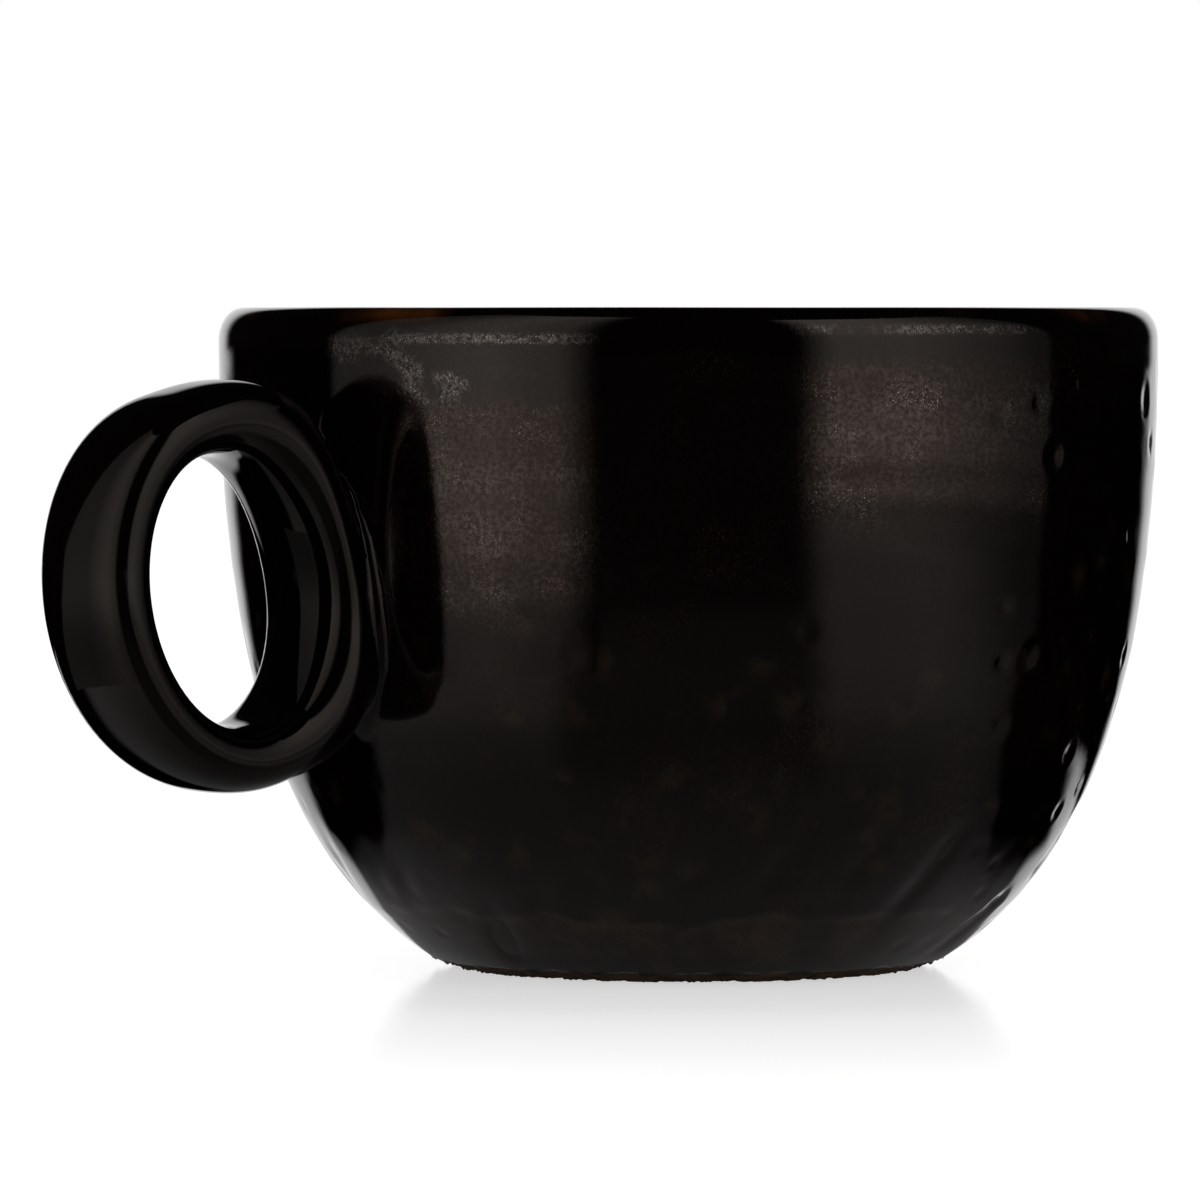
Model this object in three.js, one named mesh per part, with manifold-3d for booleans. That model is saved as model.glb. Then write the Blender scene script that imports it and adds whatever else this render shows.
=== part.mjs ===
// Stoneware latte mug. A thrown bowl carries a ring handle, luted to its wall, and a dark glaze covers all
// but the foot. Millimetres, +Z up. The origin is on the bowl's axis, in the plane that the foot stands on.
// The handle points along +X, and the mug is the same on both sides of the XZ plane.

import * as THREE from "three";
import { LoftGeometry } from "three/addons/geometries/LoftGeometry.js";
import { mergeVertices } from "three/addons/utils/BufferGeometryUtils.js";
import Module from "manifold-3d";

// Bowl, bare clay
const bowlRadius = 49.65; // outside of the wall at its widest
const shoulderHeight = 66.8; // foot to where the lip starts to round
const wallThickness = 4.4;
const lipRise = 3.05; // shoulder to the crest of the lip
const lipRound = 2.25; // outside of the wall to the crest
const uprightLength = 41.4; // pull of the upright wall on the curve below it
const footRadius = 24.8;
const flareAngle = 28.4; // degrees above level at which the wall leaves the foot
const flareLength = 17.1; // pull of that slope on the curve above it
const floorThickness = 6;
const coveHeight = 9; // floor to where the cove meets the wall
const footRingWidth = 4; // ring that the mug stands on
const hollowDepth = 0.8; // base panel above the ground

// Ring handle, bare clay, measured from the ring's own centre
const jointHeight = 43.3; // foot to the middle of the joint, on the wall
const ringReach = 17.4; // to the free side
const ringRise = 20.6; // to the top and the bottom
const ringWidth = 13.3; // across the ring's plane
const ringLean = 9; // degrees that the top leans out past the slope of the wall
const holeReach = 10.8; // finger hole, half its width
const holeRise = 14.4; // finger hole, half its height
const limbThickness = 5.1; // finger hole to the wall
const limbSink = 0.4; // how far the outline runs on past the face of the wall, which cuts it
const limbSquareness = 3; // exponent of the outline on the wall side; the free side is an ellipse
const sectionSquareness = 2.1; // exponent of the ring's cross-section

// Joint and coats
const slipThickness = 0.5; // slip between the ring and the wall
const sideFillet = 1.8; // rise of the slip that is smoothed into the corner beside the ring
const crotchFillet = 4.2; // rise of the slip in the crotch above and below the ring
const crotchFocus = 6; // how closely the wide fillet keeps to those two ends
const bedEdge = 0.3; // thickness of the slip where it runs out on the wall and on the ring
const bedBite = 2; // how deep the uncut bed reaches into the wall
const bedCore = 0.65; // share of the bed's outline that the uncut bed keeps inside the ring
const bedReach = 1.5; // farthest that the bed's edge is looked for, in ring outlines
const glazeThickness = 0.3;
const bareFoot = 1; // unglazed wall above the ground
const bondGap = 0.05; // clearance between pieces that are fused in the kiln

// Facets
const bowlSides = 40;
const wallSteps = 11;
const lipSteps = 3;
const innerSteps = 7;
const coveSteps = 4;
const ringSteps = 36;
const ringSides = 14;
const bedSides = 30;
const filletSteps = 3;
const mergeDistance = 1e-4;

const glazeFace = bondGap + glazeThickness; // bare clay to the outer face of a coat
const ellipse = 2; // exponent that makes a superellipse round

const wasm = await Module();
wasm.setup();

// Root of a function that rises from low to high
function solve(rising, low, high) {
  for (let halving = 0; halving < 50; halving++) {
    const middle = (low + high) / 2;
    if (rising(middle) < 0) low = middle;
    else high = middle;
  }
  return (low + high) / 2;
}

// Distance measure that is 1 on a superellipse with half-axes a and b
function superellipse(x, y, a, b, exponent) {
  return (Math.abs(x / a) ** exponent + Math.abs(y / b) ** exponent) ** (1 / exponent);
}

// Closed solid from a geometry, with its seams merged and its flat triangles on the axis dropped
function toSolid(geometry) {
  const bare = new THREE.BufferGeometry();
  bare.setAttribute("position", geometry.attributes.position);
  bare.setIndex(geometry.index);
  const merged = mergeVertices(bare, mergeDistance);
  const corners = merged.index.array;
  const triangles = [];
  for (let i = 0; i < corners.length; i += 3) {
    const [a, b, c] = corners.slice(i, i + 3);
    if (a !== b && b !== c && c !== a) triangles.push(a, b, c);
  }
  const vertProperties = merged.attributes.position.array;
  const triVerts = new Uint32Array(triangles);
  return new wasm.Manifold(new wasm.Mesh({ numProp: 3, vertProperties, triVerts }));
}

function toGeometry(solid) {
  const { vertProperties, triVerts } = solid.getMesh();
  const geometry = new THREE.BufferGeometry();
  geometry.setAttribute("position", new THREE.BufferAttribute(vertProperties, 3));
  geometry.setIndex(new THREE.BufferAttribute(triVerts, 1));
  geometry.computeVertexNormals();
  return geometry;
}

// Solid turned from a profile of radius and height that runs up the outside and down the inside
function turn(profile) {
  const geometry = new THREE.LatheGeometry(profile, bowlSides);
  geometry.rotateX(Math.PI / 2);
  return toSolid(geometry);
}

// Profile moved out by a distance, each of its facets parallel to the first
function offsetProfile(profile, distance) {
  const normals = profile.slice(1).map((point, i) => {
    const along = point.clone().sub(profile[i]).normalize();
    return new THREE.Vector2(along.y, -along.x);
  });
  return profile.map((point, i) => {
    const before = normals[Math.max(i - 1, 0)];
    const after = normals[Math.min(i, normals.length - 1)];
    const mitre = before.clone().add(after).multiplyScalar(distance / (1 + before.dot(after)));
    return mitre.add(point);
  });
}

// Outside of the bowl: bare foot, flare, upright wall, and the outer half of the lip
const flare = THREE.MathUtils.degToRad(flareAngle);
const wallCurve = new THREE.CubicBezierCurve(
  new THREE.Vector2(footRadius, 0),
  new THREE.Vector2(footRadius + flareLength * Math.cos(flare), flareLength * Math.sin(flare)),
  new THREE.Vector2(bowlRadius, shoulderHeight - uprightLength),
  new THREE.Vector2(bowlRadius, shoulderHeight),
);
const crestRadius = bowlRadius - lipRound;

function sampleWall(start, steps, place) {
  return Array.from({ length: steps + 1 }, (_, i) => place(THREE.MathUtils.lerp(start, 1, i / steps)));
}

function lip(width, startAngle, endAngle) {
  const curve = new THREE.EllipseCurve(crestRadius, shoulderHeight, width, lipRise, startAngle, endAngle);
  return curve.getPoints(lipSteps);
}

const glazeStart = solve((t) => wallCurve.getPoint(t).y - bareFoot, 0, 1);
const wallProfile = sampleWall(glazeStart, wallSteps, (t) => wallCurve.getPoint(t));
const outerLip = lip(lipRound, 0, Math.PI / 2);
const glazedOutside = [...wallProfile, ...outerLip.slice(1)];

// Inside of the bowl: inner half of the lip, wall, cove and floor
function innerWall(t) {
  const along = wallCurve.getTangent(t);
  return wallCurve.getPoint(t).add(new THREE.Vector2(-along.y, along.x).multiplyScalar(wallThickness));
}

const coveStart = solve((t) => innerWall(t).y - floorThickness - coveHeight, 0, 1);
const coveTop = innerWall(coveStart);
const coveSlope = wallCurve.getTangent(coveStart);
const coveReach = (coveTop.y - floorThickness) / coveSlope.y;
const coveCorner = coveTop.clone().addScaledVector(coveSlope, -coveReach);
const coveEnd = new THREE.Vector2(coveCorner.x - coveReach, floorThickness);
const cove = new THREE.QuadraticBezierCurve(coveTop, coveCorner, coveEnd).getPoints(coveSteps);
const innerLip = lip(wallThickness - lipRound, Math.PI / 2, Math.PI);
const innerProfile = sampleWall(coveStart, innerSteps, innerWall).reverse();
const inside = [...innerLip, ...innerProfile.slice(1, -1), ...cove, new THREE.Vector2(0, floorThickness)];

// Under the foot: a standing ring round a shallow hollow
const standingRadius = footRadius - footRingWidth;
const underside = [
  new THREE.Vector2(0, hollowDepth),
  new THREE.Vector2(standingRadius - hollowDepth, hollowDepth),
  new THREE.Vector2(standingRadius, 0),
  new THREE.Vector2(footRadius, 0),
];

const bowl = turn([...underside, ...glazedOutside, ...inside.slice(1)]);

// The space inside the wall's outer face, moved out by a distance, which cuts what is set against the wall
function wallBlock(distance) {
  const face = offsetProfile(wallProfile, distance);
  return turn([new THREE.Vector2(0, face.at(0).y), ...face, new THREE.Vector2(0, face.at(-1).y)]);
}

// Ring handle. Its flat side lies along the wall at the middle of the joint.
const jointAt = solve((t) => wallCurve.getPoint(t).y - jointHeight, 0, 1);
const jointFoot = wallCurve.getPoint(jointAt);
const wallSlope = wallCurve.getTangent(jointAt).angle();
const wallNormal = new THREE.Vector2(Math.sin(wallSlope), -Math.cos(wallSlope));
const ringCentre = jointFoot.clone().addScaledVector(wallNormal, holeReach + limbThickness);
const ringTurn = wallSlope - Math.PI / 2 - THREE.MathUtils.degToRad(ringLean);

// Distances from the ring's centre to its outline and its finger hole, in a direction of the ring's plane
function ringSpan(angle, growth) {
  const across = Math.cos(angle);
  const up = Math.sin(angle);
  const freeSide = across > 0;
  const reach = freeSide ? ringReach : holeReach + limbThickness + limbSink;
  const exponent = freeSide ? ellipse : limbSquareness;
  const outline = 1 / superellipse(across, up, reach + growth, ringRise + growth, exponent);
  const hole = 1 / superellipse(across, up, holeReach - growth, holeRise - growth, ellipse);
  return { middle: (outline + hole) / 2, half: (outline - hole) / 2 };
}

function ringSection(angle, growth) {
  const { middle, half } = ringSpan(angle, growth);
  const direction = new THREE.Vector2(Math.cos(angle + ringTurn), Math.sin(angle + ringTurn));
  return Array.from({ length: ringSides }, (_, i) => {
    const round = (i / ringSides) * 2 * Math.PI;
    const size = superellipse(Math.cos(round), Math.sin(round), 1, 1, sectionSquareness);
    const at = direction.clone().multiplyScalar(middle + (half * Math.cos(round)) / size).add(ringCentre);
    return new THREE.Vector3(at.x, ((ringWidth / 2 + growth) * Math.sin(round)) / size, at.y);
  });
}

// Uncut ring with every face moved out by a distance
function ringBlock(growth) {
  const angles = Array.from({ length: ringSteps + 1 }, (_, step) => (step / ringSteps) * 2 * Math.PI);
  return toSolid(new LoftGeometry(angles.map((angle) => ringSection(angle, growth))));
}

// About how far a point lies outside the uncut ring
function ringGap(point) {
  const flat = new THREE.Vector2(point.x, point.z).sub(ringCentre);
  const { middle, half } = ringSpan(flat.angle() - ringTurn, 0);
  const depth = flat.length() - middle;
  const size = superellipse(depth, point.y, half, ringWidth / 2, sectionSquareness);
  return Math.hypot(depth, point.y) * (1 - 1 / size);
}

// Point at a distance from the wall's outer face. Seen square to that face it lies out from the middle of the
// joint, where an out of 1 is about the ring's own outline.
function nearWall(direction, out, distance) {
  const side = ((out * ringWidth) / 2) * Math.cos(direction);
  const height = jointHeight + out * ringRise * Math.sin(direction);
  const place = (t) => {
    const along = wallCurve.getTangent(t);
    return wallCurve.getPoint(t).add(new THREE.Vector2(along.y, -along.x).multiplyScalar(distance));
  };
  const at = place(solve((t) => place(t).y - height, 0, 1));
  return new THREE.Vector3(Math.sqrt(at.x ** 2 - side ** 2), side, at.y);
}

// Edge of the uncut bed of slip under the ring, moved out by a distance. It is a hollow fillet, widest above
// and below the ring. Its arc is drawn in the two distances that a point has to the wall and to the ring.
function bedRay(direction, growth) {
  const fillet = THREE.MathUtils.lerp(sideFillet, crotchFillet, Math.sin(direction) ** crotchFocus);
  const edge = [];
  for (let step = 0; step <= filletSteps; step++) {
    const swing = ((step / filletSteps) * Math.PI) / 2;
    const fromRing = fillet - (fillet - bedEdge) * Math.sin(swing) + growth;
    const fromWall = fillet - (fillet - bedEdge) * Math.cos(swing) + growth;
    const out = solve((reach) => ringGap(nearWall(direction, reach, fromWall)) - fromRing, 0, bedReach);
    edge.push({ out, fromWall });
  }
  const inWall = { out: edge.at(0).out, fromWall: -bedBite };
  const inRing = { out: edge.at(-1).out * bedCore, fromWall: edge.at(-1).fromWall };
  return [inWall, ...edge, inRing].map(({ out, fromWall }) => nearWall(direction, out, fromWall));
}

// Uncut bed of slip, from inside the wall to inside the ring
function bedBlock(growth) {
  const rays = Array.from({ length: bedSides }, (_, i) => bedRay((i / bedSides) * 2 * Math.PI, growth));
  const sections = rays[0].map((_, level) => rays.map((ray) => ray[level]));
  return toSolid(new LoftGeometry(sections, { capStart: true, capEnd: true }));
}

const ring = ringBlock(0);
const ringClear = ringBlock(bondGap);
const wallClear = wallBlock(bondGap);
const handle = ring.subtract(wallBlock(slipThickness + 2 * bondGap));
const handleClear = ringClear.subtract(wallBlock(slipThickness + bondGap));
const bed = bedBlock(0).subtract(handleClear).subtract(wallClear);

// Outer coat: over the wall, the outer half of the lip, the bed's fillet and the ring, in one skin
const wallCoat = turn([
  ...offsetProfile(glazedOutside, glazeFace),
  ...offsetProfile(glazedOutside, bondGap).reverse(),
  offsetProfile(glazedOutside, glazeFace)[0],
]);
const handleCoat = ringBlock(glazeFace).add(bedBlock(glazeFace)).subtract(wallClear);
const outerCoat = wallCoat.add(handleCoat).subtract(ringClear).subtract(bedBlock(bondGap));

// Liner: over the inner half of the lip and the whole inside
const linerCoat = turn([
  ...offsetProfile(inside, bondGap).reverse(),
  ...offsetProfile(inside, glazeFace),
  offsetProfile(inside, bondGap).at(-1),
]);

const clay = { color: 0x6a5140, roughness: 0.9, metalness: 0 };
const glaze = { color: 0x120c0a, roughness: 0.16, metalness: 0 };

const pieces = [
  ["cup_body", bowl, clay],
  ["ring_handle", handle, clay],
  ["slip_bed", bed, clay],
  ["outer_glaze", outerCoat, glaze],
  ["liner_glaze", linerCoat, glaze],
];

const mug = new THREE.Group();
for (const [name, solid, finish] of pieces) {
  const mesh = new THREE.Mesh(toGeometry(solid), new THREE.MeshStandardMaterial(finish));
  mesh.name = name;
  mug.add(mesh);
}

export default mug;
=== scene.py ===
import math

import bmesh
import bpy
import numpy as np
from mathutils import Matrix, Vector


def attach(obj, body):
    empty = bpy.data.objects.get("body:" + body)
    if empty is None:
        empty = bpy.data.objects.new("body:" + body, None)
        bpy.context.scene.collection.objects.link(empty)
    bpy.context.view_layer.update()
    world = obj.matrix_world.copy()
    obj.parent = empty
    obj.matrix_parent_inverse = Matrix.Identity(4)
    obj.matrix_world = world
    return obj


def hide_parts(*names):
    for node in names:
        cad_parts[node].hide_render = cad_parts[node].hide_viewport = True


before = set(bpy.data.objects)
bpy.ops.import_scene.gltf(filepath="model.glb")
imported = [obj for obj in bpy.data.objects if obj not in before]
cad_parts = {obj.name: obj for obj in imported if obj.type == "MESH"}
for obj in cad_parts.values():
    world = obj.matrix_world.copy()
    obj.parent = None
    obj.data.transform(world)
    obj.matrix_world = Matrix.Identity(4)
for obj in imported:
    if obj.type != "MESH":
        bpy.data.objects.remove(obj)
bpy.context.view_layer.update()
scene = bpy.context.scene
mm = 0.001
tiny = 1e-9
print("frame loaded:", sorted(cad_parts))

# shapes are in millimetres and go to metres when a mesh is made; nodes work in metres
view = {
    "azimuth": 140.2, "distance": 930.0, "height": 70.0, "aimLeft": 9.4, "aimHeight": 39.0,
    "lens": 261.7,
}
azimuth = math.radians(view["azimuth"])
toRight = np.array([math.cos(azimuth), math.sin(azimuth), 0.0])
toCamera = np.array([math.sin(azimuth), -math.cos(azimuth), 0.0])

# profiles of the bowl, as (radius, height)
bowl = {
    "radius": 49.65, "shoulder": 66.8, "wall": 4.4, "lipRise": 3.05, "lipRound": 2.25,
    "upright": 41.4, "foot": 24.8, "flareAngle": 28.4, "flare": 17.1,
    "floor": 6.0, "cove": 9.0, "standing": 4.0, "hollow": 0.8,
    "coat": 0.35, "bareFoot": 1.0, "sides": 420,
    "wallSteps": 1500, "lipSteps": 120, "coveSteps": 160, "floorSteps": 60,
}


def wallPoint(t):
    # one cubic curve from the foot, along the flare, to the upright shoulder
    t = np.asarray(t, float)[..., None]
    slope = math.radians(bowl["flareAngle"])
    a = np.array([bowl["foot"], 0.0])
    b = a + bowl["flare"] * np.array([math.cos(slope), math.sin(slope)])
    d = np.array([bowl["radius"], bowl["shoulder"]])
    c = d - np.array([0.0, bowl["upright"]])
    return a * (1 - t) ** 3 + 3 * b * t * (1 - t) ** 2 + 3 * c * t**2 * (1 - t) + d * t**3


def moveOut(line, distance):
    along = np.gradient(line, axis=0)
    along /= np.linalg.norm(along, axis=1)[:, None]
    return line + distance * np.stack([along[:, 1], -along[:, 0]], axis=1)


def lipArc(width, start, end, count):
    angle = np.linspace(start, end, count)
    crest = bowl["radius"] - bowl["lipRound"]
    return np.stack([crest + width * np.cos(angle), bowl["shoulder"] + bowl["lipRise"] * np.sin(angle)], axis=1)


def respace(line, steps):
    # points along a line, with steps in the given proportions
    length = np.concatenate([[0], np.cumsum(np.linalg.norm(np.diff(line, axis=0), axis=1))])
    at = np.concatenate([[0], np.cumsum(steps)])
    at *= length[-1] / at[-1]
    return np.stack([np.interp(at, length, line[:, 0]), np.interp(at, length, line[:, 1])], axis=1)


fine = np.linspace(0, 1, bowl["wallSteps"])
wallLine = wallPoint(fine)
wallSlope = np.gradient(wallLine[:, 0]) / np.gradient(wallLine[:, 1])
clayOutside = np.concatenate([wallLine, lipArc(bowl["lipRound"], 0, math.pi / 2, bowl["lipSteps"])[1:]])


def insideLine():
    # over the lip, down the inner wall and round a cove to the middle of the floor
    innerWall = moveOut(wallLine, -bowl["wall"])
    coveAt = int(np.searchsorted(innerWall[:, 1], bowl["floor"] + bowl["cove"]))
    top = innerWall[coveAt]
    slope = innerWall[coveAt + 1] - innerWall[coveAt - 1]
    slope /= np.linalg.norm(slope)
    reach = (top[1] - bowl["floor"]) / slope[1]
    corner = top - slope * reach
    end = np.array([corner[0] - reach, bowl["floor"]])
    s = np.linspace(0, 1, bowl["coveSteps"])[:, None]
    cove = top * (1 - s) ** 2 + 2 * corner * s * (1 - s) + end * s**2
    lip = lipArc(bowl["wall"] - bowl["lipRound"], math.pi / 2, math.pi, bowl["lipSteps"])
    count = bowl["floorSteps"]
    floor = np.stack([np.linspace(end[0], 0, count), np.full(count, bowl["floor"])], axis=1)
    return np.concatenate([lip, innerWall[coveAt:-1][::-1], cove[1:], floor[1:]])


clayInside = insideLine()


def wallDistance(p):
    r = np.hypot(p[:, 0], p[:, 1])
    z = p[:, 2]
    radius = np.interp(z, wallLine[:, 1], wallLine[:, 0]) + np.minimum(z, 0) * wallSlope[0]
    lean = np.interp(z, wallLine[:, 1], wallSlope)
    return (r - radius) / np.sqrt(1 + lean**2) - bowl["coat"]


# ring handle, as a distance from its glazed surface
handle = {
    "joint": 43.3, "reach": 17.4, "rise": 20.6, "width": 13.3, "lean": 9.0,
    "holeReach": 10.8, "holeRise": 14.4, "limb": 5.1, "sink": 0.4,
    "ovalPower": 2, "limbPower": 3.0, "sectionPower": 2.6,
    "sideFillet": 1.8, "crotchFillet": 4.2, "crotchFocus": 6, "nudge": 1e-3,
}
jointAt = float(np.interp(handle["joint"], wallLine[:, 1], fine))
jointBelow, jointAbove = wallPoint(np.array([jointAt - handle["nudge"], jointAt + handle["nudge"]]))
jointAlong = (jointAbove - jointBelow) / np.linalg.norm(jointAbove - jointBelow)
ringCentre = wallPoint(jointAt) + np.array([jointAlong[1], -jointAlong[0]]) * (handle["holeReach"] + handle["limb"])
ringTurn = math.atan2(jointAlong[1], jointAlong[0]) - math.pi / 2 - math.radians(handle["lean"])


def superSize(x, y, a, b, power):
    return (np.abs(x / a) ** power + np.abs(y / b) ** power) ** (1 / power)


def ringSpan(angle, growth):
    # middle and half width of the ring's section, seen from the side
    across, up = np.cos(angle), np.sin(angle)
    free = 1 / superSize(across, up, handle["reach"] + growth, handle["rise"] + growth, handle["ovalPower"])
    limbReach = handle["holeReach"] + handle["limb"] + handle["sink"] + growth
    limb = 1 / superSize(across, up, limbReach, handle["rise"] + growth, handle["limbPower"])
    outline = np.where(across > 0, free, limb)
    hole = 1 / superSize(across, up, handle["holeReach"] - growth, handle["holeRise"] - growth, handle["ovalPower"])
    return (outline + hole) / 2, (outline - hole) / 2


def ringDistance(p):
    grow = bowl["coat"]
    flatX, flatZ = p[:, 0] - ringCentre[0], p[:, 2] - ringCentre[1]
    middle, half = ringSpan(np.arctan2(flatZ, flatX) - ringTurn, grow)
    depth = np.hypot(flatX, flatZ) - middle
    size = superSize(depth, p[:, 1], half, handle["width"] / 2 + grow, handle["sectionPower"])
    return np.hypot(depth, p[:, 1]) * (1 - 1 / np.maximum(size, tiny))


def skin(p):
    # wall and ring as one surface, with the slip's hollow fillet between them
    wall, ring = wallDistance(p), ringDistance(p)
    up = (p[:, 2] - handle["joint"]) / handle["rise"]
    side = p[:, 1] / (handle["width"] / 2)
    crotch = (up**2 / np.maximum(up**2 + side**2, tiny)) ** (handle["crotchFocus"] / 2)
    fillet = handle["sideFillet"] + (handle["crotchFillet"] - handle["sideFillet"]) * crotch
    near = np.hypot(np.maximum(fillet - wall, 0), np.maximum(fillet - ring, 0))
    return np.maximum(fillet, np.minimum(wall, ring)) - near


settling = {"probe": 0.02, "flattest": 0.1, "longest": 1.5, "capGap": 4}


def onSkin(p, rounds):
    # pulls points onto the skin, apart from the caps of the rough block, which are cut off later
    probe = settling["probe"]
    for _ in range(rounds):
        value = skin(p)
        slope = np.empty_like(p)
        for axis in range(3):
            step = np.zeros(3)
            step[axis] = probe
            slope[:, axis] = (skin(p + step) - skin(p - step)) / (2 * probe)
        move = (value / np.maximum((slope**2).sum(1), settling["flattest"]))[:, None] * slope
        move[np.abs(value) > settling["capGap"]] = 0
        p = p - np.clip(move, -settling["longest"], settling["longest"])
    return p


# mesh helpers
def turned(line, sides):
    # rings of points about Z, and the quads between them
    turn = np.arange(sides) / sides * 2 * math.pi
    x, y = np.outer(line[:, 0], np.cos(turn)), np.outer(line[:, 0], np.sin(turn))
    points = np.stack([x, y, np.repeat(line[:, 1:], sides, axis=1)], axis=2).reshape(-1, 3)
    row, col = np.meshgrid(np.arange(len(line) - 1), np.arange(sides), indexing="ij")
    nextCol = (col + 1) % sides
    low, high = row * sides, (row + 1) * sides
    quads = np.stack([low + col, low + nextCol, high + nextCol, high + col], axis=2)
    return points, quads.reshape(-1, 4).tolist()


def capped(points, faces, sides, first, last, low, high):
    # closes the first and last ring with a fan onto a point on the axis
    points = np.concatenate([points, [[0, 0, low], [0, 0, high]]])
    n = len(points)
    faces = faces + [[n - 2, first + (i + 1) % sides, first + i] for i in range(sides)]
    faces = faces + [[n - 1, last + i, last + (i + 1) % sides] for i in range(sides)]
    return points, faces


def makeMesh(name, points, faces):
    mesh = bpy.data.meshes.new(name)
    mesh.from_pydata((np.asarray(points) * mm).tolist(), [], faces)
    mesh.polygons.foreach_set("use_smooth", np.ones(len(mesh.polygons), bool))
    mesh.update()
    piece = bpy.data.objects.new(name, mesh)
    scene.collection.objects.link(piece)
    return piece


def normalsOf(points, faces):
    total = np.zeros_like(points)
    for size in (3, 4):
        some = np.array([f for f in faces if len(f) == size], int).reshape(-1, size)
        corners = points[some]
        cross = np.cross(corners[:, 2] - corners[:, 0], corners[:, -1] - corners[:, 1])
        np.add.at(total, some.ravel(), np.repeat(cross, size, axis=0))
    return total / np.maximum(np.linalg.norm(total, axis=1), tiny)[:, None]


def turnedOver(faces, normals):
    return [face[::-1] for face in faces], -normals


def shell(outer, inner, faces):
    # closed skin: outer face, inner face turned round, and a strip along each open edge
    n = len(outer)
    seen = dict.fromkeys(edge for face in faces for edge in zip(face, face[1:] + face[:1]))
    rim = [(a, b) for a, b in seen if (b, a) not in seen]
    closed = faces + [[v + n for v in reversed(face)] for face in faces]
    closed += [[b, a, a + n, b + n] for a, b in rim]
    return np.concatenate([outer, inner]), closed, {v for edge in rim for v in edge}


def sharpen(piece, edgeVerts, count):
    # the open edges of a coat keep their own normals on each side
    mesh = piece.data
    flag = np.zeros(len(mesh.vertices), bool)
    flag[list(edgeVerts)] = True
    flag[[v + count for v in edgeVerts]] = True
    ends = np.empty(len(mesh.edges) * 2, np.int32)
    mesh.edges.foreach_get("vertices", ends)
    ends = ends.reshape(-1, 2)
    sameSide = (ends[:, 0] < count) == (ends[:, 1] < count)
    mark = mesh.attributes.new("sharp_edge", "BOOLEAN", "EDGE")
    mark.data.foreach_set("value", flag[ends].all(1) & sameSide)


def paint(piece, name, values):
    layer = piece.data.attributes.new(name, "FLOAT", "POINT")
    layer.data.foreach_set("value", np.asarray(values, np.float32))


def paintCoat(piece, **layers):
    # the same values on a coat's outer and inner face
    for name, values in layers.items():
        paint(piece, name, np.tile(values, 2))


def smoothStep(low, high, x):
    t = np.clip((x - low) / (high - low), 0, 1)
    return t * t * (3 - 2 * t)


def ripple(turn, parts):
    # waves round the mug, each with its size, count and start
    return sum(size * np.sin(count * turn + start) for size, count, start in parts)


# unevenness of the hand-made surface; pairs are the two ends of a range or of a fade
uneven = {
    "seed": 11,
    "waves": 12, "waveLength": (16, 34), "wayLength": 1.7, "wavePhase": 6.28, "waveShare": (0.5, 1), "waveGain": 2.2,
    "wobble": 0.10, "calmShare": 0.25, "calm": (46, 26),
    "throwing": 0.012, "throwingPitch": 5.3, "throwingSway": 1.5, "throwingLean": 0.08,
    "pits": 300, "pitStart": 6, "pitSpacing": 4.2, "pitDepth": (0.05, 0.17), "pitSize": (0.9, 1.9), "pitReach": 3.2,
    "pitted": (42, 30), "dimpledSide": (0.6, 0.75), "dimpledTop": (66, 56), "dimpledShare": 0.6,
    "deepSide": (25, 33), "shallow": 0.4, "deeper": 0.85, "stainFall": 0.8, "stained": (50, 40),
    "dents": 34, "dentStray": 0.35, "dentHeight": (4, 17), "dentDepth": (0.18, 0.38),
    "dentWide": 1.7, "dentTall": 3.0, "dentLean": 0.012,
    "glazeLine": 7.2, "glazeSway": 0.75, "swayWaves": ((0.5, 5, 1), (0.4, 11, 2.3), (0.35, 19, 0), (0.2, 37, 4)),
    "glazeRoll": 0.09, "rollEdge": (-0.9, 0.5), "rollFade": 3.5,
    "footEase": (0.6, 3.0), "ringShare": 0.12,
}
rng = np.random.default_rng(uneven["seed"])


def drawWave():
    way = rng.normal(size=3) * 2 * math.pi / rng.uniform(*uneven["waveLength"]) / uneven["wayLength"]
    return way, rng.uniform(0, uneven["wavePhase"]), rng.uniform(*uneven["waveShare"])


waves = [drawWave() for _ in range(uneven["waves"])]


def sumWaves(p):
    total = sum(share for _, _, share in waves)
    return sum(share * np.sin(p @ way + phase) for way, phase, share in waves) / total * uneven["waveGain"]


def scatterPits():
    # most pits are low on the wall, and the right side has dimples further up
    places = []
    outside = moveOut(wallLine, bowl["coat"])
    lengths = np.concatenate([[0], np.cumsum(np.linalg.norm(np.diff(outside, axis=0), axis=1))])
    while len(places) < uneven["pits"]:
        at = rng.uniform(uneven["pitStart"], lengths[-1])
        r, z = np.interp(at, lengths, outside[:, 0]), np.interp(at, lengths, outside[:, 1])
        turn = rng.uniform(0, 2 * math.pi)
        place = np.array([r * math.cos(turn), r * math.sin(turn), z])
        dimpled = uneven["dimpledShare"] * smoothStep(*uneven["dimpledSide"], place @ toRight / r)
        wanted = dimpled * smoothStep(*uneven["dimpledTop"], z) + smoothStep(*uneven["pitted"], z)
        if rng.uniform() > wanted * r / bowl["radius"]:
            continue
        if all(np.linalg.norm(place - other) > uneven["pitSpacing"] for other in places):
            places.append(place)
    return np.array(places)


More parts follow.
